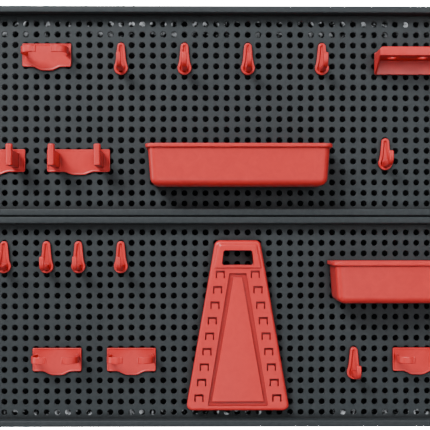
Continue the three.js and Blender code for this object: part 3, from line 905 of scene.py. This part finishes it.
SPANNER_SHARP = 30
SPANNER_T = 19.0
SPANNER_LOW_Z = -10.0
SPANNER_HIGH_Z = 228.7
SPANNER_LOW_W = 146.0
SPANNER_HIGH_W = 63.0
SPANNER_R = 8.0
SPANNER_EDGE_R = 4.5
SPANNER_WALL = 2.5
SPANNER_FACE_T = 8.0
SPANNER_STEP = 2.0
SPANNER_STEP_Z = 190.5
SPANNER_SLOPE = 3.6
SPANNER_SLOPE_LIFT = 0.3
SPANNER_STEP_R = 0.3
SPANNER_PEGS = {"high": (1, 15), "low": (3, 0)}
HOLLOW_EDGE_R = 0.3
HOLLOW_FOOT_R = 1.0
HAND_LOW_Z = 194.0
HAND_HIGH_Z = 215.0
HAND_LOW_W = 45.0
HAND_HIGH_W = 40.0
HAND_R = 3.0
HAND_EDGE_R = 1.2
HAND_BACK_R = 0.5
POCKET_COUNT = 9
POCKET_SIDE = 13.0
POCKET_LOW_DEPTH = 6.0
POCKET_HIGH_DEPTH = 3.5
POCKET_LOW_Z = 7.0
POCKET_HIGH_Z = 180.0
POCKET_LOW_X = 54.5
POCKET_HIGH_X = 24.5
POCKET_EDGE_R = 0.4
POCKET_FLOOR_R = 0.3
POCKET_FOOT_R = 0.6
POCKET_TOP_R = 0.8
TONGUE_SIDE_GAP = 2.0
TONGUE_TOP_GAP = 3.0
TONGUE_FOOT = 2.5
TONGUE_TIP_R = 1.2
GROOVE_DEPTH = 4.0
GROOVE_W = 6.0
GROOVE_LOW_Z = -3.0
GROOVE_HIGH_Z = 183.0
GROOVE_LOW_W = 85.0
GROOVE_HIGH_W = 24.0
GROOVE_EDGE_R = 0.6
GROOVE_OUTER_R = 2.0
GROOVE_INNER_R = 1.0


def spanner_half(z):
    """Half the board's width at height z."""
    t = (z - SPANNER_LOW_Z) / (SPANNER_HIGH_Z - SPANNER_LOW_Z)
    return (SPANNER_LOW_W + (SPANNER_HIGH_W - SPANNER_LOW_W) * t) / 2


def trapezoid(low, high, low_half, high_half, low_r, high_r, steps=5):
    """A board's outline about x = 0, from z = low to z = high, with its own radius at each end."""
    return rounded([(-low_half, low, low_r), (low_half, low, low_r),
                    (high_half, high, high_r), (-high_half, high, high_r)], steps)


def handle_outline(margin, lift):
    """The raised handle's outline, set in by margin, and by lift at its lower step."""
    low, high = SPANNER_STEP_Z + lift, SPANNER_HIGH_Z - margin
    low_half, high_half = spanner_half(low) - margin, spanner_half(SPANNER_HIGH_Z) - margin
    return trapezoid(low, high, low_half, high_half, SPANNER_STEP_R, SPANNER_R - SPANNER_EDGE_R, 8)


def sunk(surface, outline, face, depth, top_r, foot_r):
    """Walls of a pocket below a face; returns its edge ring on the face and its floor ring."""
    rings = [facing(inset(outline, d - top_r), face + drop) for d, drop in reversed(quarter(top_r, 3))]
    rings += [facing(inset(outline, d), face + depth - drop) for d, drop in quarter(foot_r, 2)]
    return surface.loft(rings)


def tongue_slot(x, z):
    """The slot around three sides of a springy tongue, seen from the front."""
    h = POCKET_SIDE / 2
    low, high = z - h + TONGUE_FOOT, z + h
    inner, tip = h - TONGUE_SIDE_GAP, high - TONGUE_TOP_GAP
    foot, end, top = POCKET_FOOT_R, TONGUE_TIP_R, POCKET_TOP_R
    return rounded([(x - h, low, foot), (x - inner, low, foot), (x - inner, tip, end),
                    (x + inner, tip, end), (x + inner, low, foot), (x + h, low, foot),
                    (x + h, high, top), (x - h, high, top)], 3)


def spanner_pockets(surface, face):
    """Both columns of tongue slots, shallower towards the top; returns their edge rings."""
    edges = []
    for i in range(POCKET_COUNT):
        t = i / (POCKET_COUNT - 1)
        z = POCKET_LOW_Z + (POCKET_HIGH_Z - POCKET_LOW_Z) * t
        x = POCKET_LOW_X + (POCKET_HIGH_X - POCKET_LOW_X) * t
        depth = POCKET_LOW_DEPTH + (POCKET_HIGH_DEPTH - POCKET_LOW_DEPTH) * t
        for side in (-1, 1):
            slot = tongue_slot(side * x, z)
            edge, floor = sunk(surface, slot, face, depth, POCKET_EDGE_R, POCKET_FLOOR_R)
            surface.sheet(floor, [])
            edges.append(edge)
    return edges


def spanner_groove(surface, face):
    """The groove around the board's middle; returns its outer edge ring."""
    r = GROOVE_EDGE_R
    outer = trapezoid(GROOVE_LOW_Z, GROOVE_HIGH_Z, GROOVE_LOW_W / 2, GROOVE_HIGH_W / 2,
                      GROOVE_OUTER_R, GROOVE_OUTER_R)
    inner = trapezoid(GROOVE_LOW_Z + GROOVE_W, GROOVE_HIGH_Z - GROOVE_W,
                      GROOVE_LOW_W / 2 - GROOVE_W, GROOVE_HIGH_W / 2 - GROOVE_W,
                      GROOVE_INNER_R, GROOVE_INNER_R)
    edge, floor_outer = sunk(surface, outer, face, GROOVE_DEPTH, r, r)
    rings = [facing(inset(inner, -d), face + GROOVE_DEPTH - drop) for d, drop in reversed(quarter(r, 2))]
    rings += [facing(inset(inner, d), face + drop) for d, drop in quarter(r, 3)]
    floor_inner, island = surface.loft(rings)
    surface.sheet(floor_outer, [floor_inner])
    surface.sheet(island, [])
    return edge


def spanner_handle(surface, face):
    """The slope up to the raised handle; returns the rings at its foot and around its plateau."""
    foot = handle_outline(SPANNER_EDGE_R, 0.0)
    crown = handle_outline(SPANNER_EDGE_R + SPANNER_SLOPE, SPANNER_SLOPE_LIFT)
    return surface.loft([
        facing(foot + (crown - foot) * t, face - SPANNER_STEP * math.sin(t * math.pi / 2))
        for t in np.linspace(0, 1, 6)])


def spanner_hollow(surface, back, floor):
    """The hollow behind the face, open towards the wall; returns its edge ring."""
    low, high = SPANNER_LOW_Z + SPANNER_WALL, HAND_LOW_Z - 2 * SPANNER_WALL
    r = SPANNER_R - SPANNER_WALL
    hollow = trapezoid(low, high, spanner_half(low) - SPANNER_WALL, spanner_half(high) - SPANNER_WALL, r, r)
    edge_r = HOLLOW_EDGE_R
    rings = [facing(inset(hollow, d - edge_r), back - drop) for d, drop in reversed(quarter(edge_r, 2))]
    rings += [facing(inset(hollow, d), floor + drop) for d, drop in quarter(HOLLOW_FOOT_R, 3)]
    edge, inside = surface.loft(rings)
    surface.sheet(inside, [])
    return edge


def spanner_mesh():
    """A tapered board, hollow behind, with slots, a groove and a raised handle with its opening."""
    surface = Surface()
    back, front = -PEG_GAP, -SPANNER_T
    face = front + SPANNER_STEP
    board = trapezoid(SPANNER_LOW_Z, SPANNER_HIGH_Z, spanner_half(SPANNER_LOW_Z),
                      spanner_half(SPANNER_HIGH_Z), SPANNER_R, SPANNER_R, 8)
    rings = [facing(inset(board, d), back - drop) for d, drop in reversed(quarter(BACK_EDGE_R, 2))]
    rings += [facing(inset(board, d), face + drop) for d, drop in quarter(SPANNER_EDGE_R)]
    back_edge, face_edge = surface.loft(rings)
    holes = [*spanner_pockets(surface, face), spanner_groove(surface, face)]
    step_edge, plateau = spanner_handle(surface, face)
    surface.sheet(face_edge, [*holes, step_edge])

    hand = trapezoid(HAND_LOW_Z, HAND_HIGH_Z, HAND_LOW_W / 2, HAND_HIGH_W / 2, HAND_R, HAND_R)
    rings = [facing(inset(hand, d - HAND_EDGE_R), front + drop)
             for d, drop in reversed(quarter(HAND_EDGE_R))]
    rings += [facing(inset(hand, d - HAND_BACK_R), back - drop) for d, drop in quarter(HAND_BACK_R, 2)]
    hand_front, hand_back = surface.loft(rings)
    surface.sheet(plateau, [hand_front])

    inner_face = face + SPANNER_FACE_T
    hollow_edge = spanner_hollow(surface, back, inner_face)
    surface.sheet(back_edge, [hollow_edge, hand_back])
    for end, root in (("high", back - 1), ("low", inner_face - 1)):
        column, row = SPANNER_PEGS[end]
        for side in (-1, 1):
            peg(surface, side * column * PITCH, row * PITCH, root)
    return surface.mesh("spanner_rack", SPANNER_SHARP)


# ---------------------------------------------------------------- screwdriver rack

DRIVER_HOLES = 5
DRIVER_HOLE_R = 7.0
DRIVER_SPACING = 42.0
DRIVER_END = 20.0
DRIVER_LOW_Z = -12.0
DRIVER_HIGH_Z = 20.0
DRIVER_REACH = 44.0
DRIVER_LIP_H = 12.3
DRIVER_WALL = 2.5
DRIVER_SHELF_T = 3.0
DRIVER_CORNER_R = 5.0
DRIVER_EDGE_R = 0.9
DRIVER_PLATE_EDGE_R = 0.6
DRIVER_CUT_PAST = 5.0
GUSSET_FOOT = 0.4
GUSSET_TUCK = 2.0
GUSSET_NOSE = 3.0
GUSSET_EDGE_R = 0.4
DRIVER_PEG_COLUMNS = [1, 7, 13]


def driver_mesh():
    """A shelf with a deep front lip and holes for shafts, on a back plate with end gussets."""
    low, high = corner_mm("screwdriver_rack")
    width = high[0] - low[0]
    shelf = DRIVER_HIGH_Z - DRIVER_LIP_H
    back = -PEG_GAP
    wall = DRIVER_WALL
    pan = Surface()
    slab(pan, rectangle(0, width, shelf, DRIVER_HIGH_Z, 1.0, DRIVER_CORNER_R, 8), back, -DRIVER_REACH,
         DRIVER_EDGE_R)
    plate = Surface()
    slab(plate, rectangle(0, width, DRIVER_LOW_Z, DRIVER_HIGH_Z, 1.5, 3, 4), back, back - PLATE_T,
         DRIVER_PLATE_EDGE_R)
    parts = [pan, plate]
    foot, top = DRIVER_LOW_Z + GUSSET_FOOT, shelf + GUSSET_TUCK
    slope = rounded([(1, foot, 0), (PLATE_T + 2, foot, 1),
                     (DRIVER_REACH - GUSSET_NOSE, top, 0), (1, top, 0)])
    for x in (wall / 2, width - wall / 2):
        gusset = Surface()
        sideways_bar(gusset, slope, x, wall - 0.1, GUSSET_EDGE_R)
        parts.append(gusset)
    for column in DRIVER_PEG_COLUMNS:
        pin = Surface()
        peg(pin, column * PITCH, 0, PEG_ROOT - 0.2)
        parts.append(pin)

    well = Surface()
    upright(well, rectangle(wall, width - wall, wall - DRIVER_REACH, back - PLATE_T, 2.5, 1),
            shelf + DRIVER_SHELF_T, DRIVER_HIGH_Z + DRIVER_CUT_PAST, 0.6)
    cuts = [well]
    for i in range(DRIVER_HOLES):
        hole = Surface()
        at = circle(DRIVER_END + i * DRIVER_SPACING, -(DRIVER_REACH + PLATE_T) / 2, DRIVER_HOLE_R, 32)
        first, last = hole.loft([level(at, z) for z in (shelf - 2, shelf + DRIVER_CUT_PAST)])
        hole.face(first, flip=True)
        hole.face(last)
        cuts.append(hole)
    return fused(parts, "screwdriver_rack", bevel=0.35, cuts=cuts)


# ---------------------------------------------------------------- everything in its place

PANEL = panel_plastic()
RED = red_plastic()
ZINC = screw_zinc()
WALL_BODY = "wall_panels"
FIELD_Y = corner_mm("panel_upper")[0][1] + RIM_PROUD


def build_panels():
    for which in ("upper", "lower"):
        node = f"panel_{which}"
        low, high = corner_mm(node)
        piece(f"{node}_field", perforated_field(f"{node}_field", low, high), PANEL, WALL_BODY,
              [node])
        piece(f"{node}_rim", rim_frame(f"{node}_rim", low, high), PANEL, WALL_BODY,
              [node])


def build_screws():
    mesh = None
    for node in sorted(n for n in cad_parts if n.startswith("fixing_screw_")):
        low, high = corner_mm(node)
        seat = low[1] + SCREW_HEAD_H
        mesh = mesh or screw_mesh(high[1] - seat)
        centre = (low + high) / 2
        piece(f"{node}_turned", mesh, ZINC, WALL_BODY, [node],
              (centre[0], seat, centre[2]))


def build_accessories():
    """Builds each kind of accessory once and hangs a copy at each of its nodes."""
    kinds = {
        "hook": (hook_mesh, HOOK_LOW_Z - HOOK_LOW_R),
        "clip": (clip_mesh, CLIP_LOW_Z - CLIP_BULGE_DROP),
        "fork": (fork_mesh, FORK_LOW_Z - FORK_BULGE_DROP),
        "tray": (tray_mesh, TRAY_LOW_Z),
        "spanner": (spanner_mesh, SPANNER_LOW_Z),
        "screwdriver": (driver_mesh, DRIVER_LOW_Z),
    }
    meshes = {}
    for node in sorted(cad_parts):
        kind = node.split("_")[0]
        if kind not in kinds:
            continue
        build, lowest = kinds[kind]
        if kind not in meshes:
            meshes[kind] = build()
        low, high = corner_mm(node)
        x = low[0] if kind == "screwdriver" else (low[0] + high[0]) / 2
        piece(f"{node}_moulding", meshes[kind], RED, node, [node],
              (x, FIELD_Y, low[2] - lowest))


# ---------------------------------------------------------------- stage, light and camera

CAMERA_AT = (-29.3, -1300.0, -25.6)
CAMERA_YAW = 0.53
CAMERA_RISE = 0.41
FOCAL = 75.77
SHIFT = (0.0258, 0.0209)
FLOOR_DROP = 800.0
FLOOR_REACH = 6000.0
WALL_REACH = 2600.0
WALL_TOP = 1500.0
SHADOW_INSET = 2.0
SHADOW_Y = 0.4
WALL_Y = 1.0
WALL_GLOW = 25.0
# painted light: extent and glow of the patches on the dark sheet behind the panels
PAINTED_LEAK_TOP = (45.0, 20.0)
PAINTED_LEAK_BOTTOM = (26.0, 12.0)
PAINTED_LEAK_STRENGTH = 0.7
PAINTED_LEAK_SPAN = (0.52, 0.70)


def flat_material(name, colour, strength=0.0):
    material, _, shader = new_material(name)
    shader.inputs["Base Color"].default_value = (*colour, 1)
    shader.inputs["Roughness"].default_value = 0.9
    shader.inputs["Emission Color"].default_value = (*colour, 1)
    shader.inputs["Emission Strength"].default_value = strength
    return material


def stage_plane(name, corners, material):
    mesh = bpy.data.meshes.new(name)
    mesh.from_pydata([Vector(c) * MM for c in corners], [], [(0, 1, 2, 3)])
    mesh.materials.append(material)
    obj = temporary(mesh, name)
    return obj


def one_way(material):
    """Lets the material be seen from its front only."""
    tree = material.node_tree
    side = tree.nodes.new("ShaderNodeNewGeometry")
    clear = tree.nodes.new("ShaderNodeBsdfTransparent")
    pick = tree.nodes.new("ShaderNodeMixShader")
    tree.links.new(side.outputs["Backfacing"], pick.inputs["Fac"])
    tree.links.new(tree.nodes["Principled BSDF"].outputs["BSDF"], pick.inputs[1])
    tree.links.new(clear.outputs["BSDF"], pick.inputs[2])
    tree.links.new(pick.outputs["Shader"], tree.nodes["Material Output"].inputs["Surface"])


def painted_leak(material, top, bottom):
    """Painted light: faint glowing patches on the dark sheet behind the panels, near their top and bottom
    edges (mm).
    """
    tree = material.node_tree
    place = tree.nodes.new("ShaderNodeTexCoord")
    split = tree.nodes.new("ShaderNodeSeparateXYZ")
    tree.links.new(place.outputs["Object"], split.inputs["Vector"])
    spans = [[(top - drop) * MM for drop in PAINTED_LEAK_TOP], [(bottom + rise) * MM for rise in PAINTED_LEAK_BOTTOM]]
    near_top, near_bottom = (ranged(tree, split.outputs["Z"], span) for span in spans)
    edges = combined(tree, "MAXIMUM", near_top, near_bottom)
    painted_light_patches = ranged(tree, noise(tree, 75, 4, 0.6), PAINTED_LEAK_SPAN, 0, PAINTED_LEAK_STRENGTH)
    shader = tree.nodes["Principled BSDF"]
    shader.inputs["Emission Color"].default_value = (0.9, 0.95, 1.0, 1)
    tree.links.new(combined(tree, "MULTIPLY", edges, painted_light_patches), shader.inputs["Emission Strength"])


def build_stage():
    """A pale floor, a white wall around the panels and, behind them, a dark sheet of painted shade with
    patches of painted light near its edges.
    """
    low, high = (np.array(corner) / MM for corner in CAD_BOX)
    floor_z = low[2] - FLOOR_DROP
    far = FLOOR_REACH
    ground = stage_plane("floor", [(-far, -far, floor_z), (far, -far, floor_z), (far, far, floor_z),
                                   (-far, far, floor_z)], flat_material("stage_floor", (0.82, 0.82, 0.81)))
    wall = flat_material("stage_wall", (1.0, 1.0, 1.0), WALL_GLOW)
    one_way(wall)
    # painted shade: a near-black sheet behind the panels stands in for the shade in their hollow
    shade = flat_material("stage_painted_shadow", (0.004, 0.004, 0.005))
    painted_leak(shade, high[2], low[2])
    one_way(shade)
    inside = SHADOW_INSET
    places = [("painted_shade_sheet", shade, SHADOW_Y, low[0] + inside, high[0] - inside,
               low[2] + inside, high[2] - inside),
              ("wall_around", wall, WALL_Y, -WALL_REACH, WALL_REACH, floor_z, WALL_TOP)]
    planes = [ground]
    for name, material, y, x0, x1, z0, z1 in places:
        plane = stage_plane(name, [(x0, y, z0), (x1, y, z0), (x1, y, z1), (x0, y, z1)], material)
        plane.visible_shadow = False
        planes.append(plane)
    for plane in planes:
        plane.visible_diffuse = False
        plane.visible_glossy = False


def area_light(name, at, size, power, lights=True, shines=True):
    """A softbox aimed at the origin, which may light surfaces, be mirrored in them, or both."""
    data = bpy.data.lights.new(name, "AREA")
    data.shape = "RECTANGLE"
    data.size, data.size_y = size[0] * MM, size[1] * MM
    data.energy = power
    obj = bpy.data.objects.new(name, data)
    bpy.context.scene.collection.objects.link(obj)
    obj.location = Vector(at) * MM
    obj.rotation_mode = "QUATERNION"
    obj.rotation_quaternion = (-Vector(at)).to_track_quat("-Z", "Y")
    obj.visible_camera = False
    obj.visible_diffuse = lights
    obj.visible_glossy = shines


def build_lights():
    """Soft studio light from the high left, with weak fills and a few cards that only shine."""
    world = bpy.data.worlds.new("studio")
    bpy.context.scene.world = world
    world.use_nodes = True
    background = world.node_tree.nodes["Background"]
    background.inputs["Color"].default_value = (0.96, 0.98, 1.0, 1)
    background.inputs["Strength"].default_value = 0.16
    area_light("high_left", (-2600, -4000, 3400), (2700, 1900), 412)
    area_light("high_right", (1000, -4600, 3000), (2200, 1600), 25)
    area_light("right", (4400, -5200, 600), (3200, 2600), 60, shines=False)
    area_light("low", (-300, -2600, -1000), (1800, 700), 20, shines=False)
    area_light("strip_left", (-3000, -500, 300), (700, 2600), 35, lights=False)
    area_light("strip_low", (0, -2600, -1300), (3600, 500), 9, lights=False)
    area_light("card_right", (1500, -2600, 600), (1300, 1000), 26, lights=False)
    area_light("behind", (600, 2400, 900), (1500, 1500), 60, shines=False)


def build_camera():
    data = bpy.data.cameras.new("camera")
    data.lens = FOCAL
    data.shift_x, data.shift_y = SHIFT
    camera = bpy.data.objects.new("camera", data)
    bpy.context.scene.collection.objects.link(camera)
    camera.location = Vector(CAMERA_AT) * MM
    camera.rotation_euler = (math.radians(90 + CAMERA_RISE), 0, math.radians(-CAMERA_YAW))
    bpy.context.scene.camera = camera


build_camera()
build_panels()
build_screws()
build_accessories()
build_stage()
build_lights()
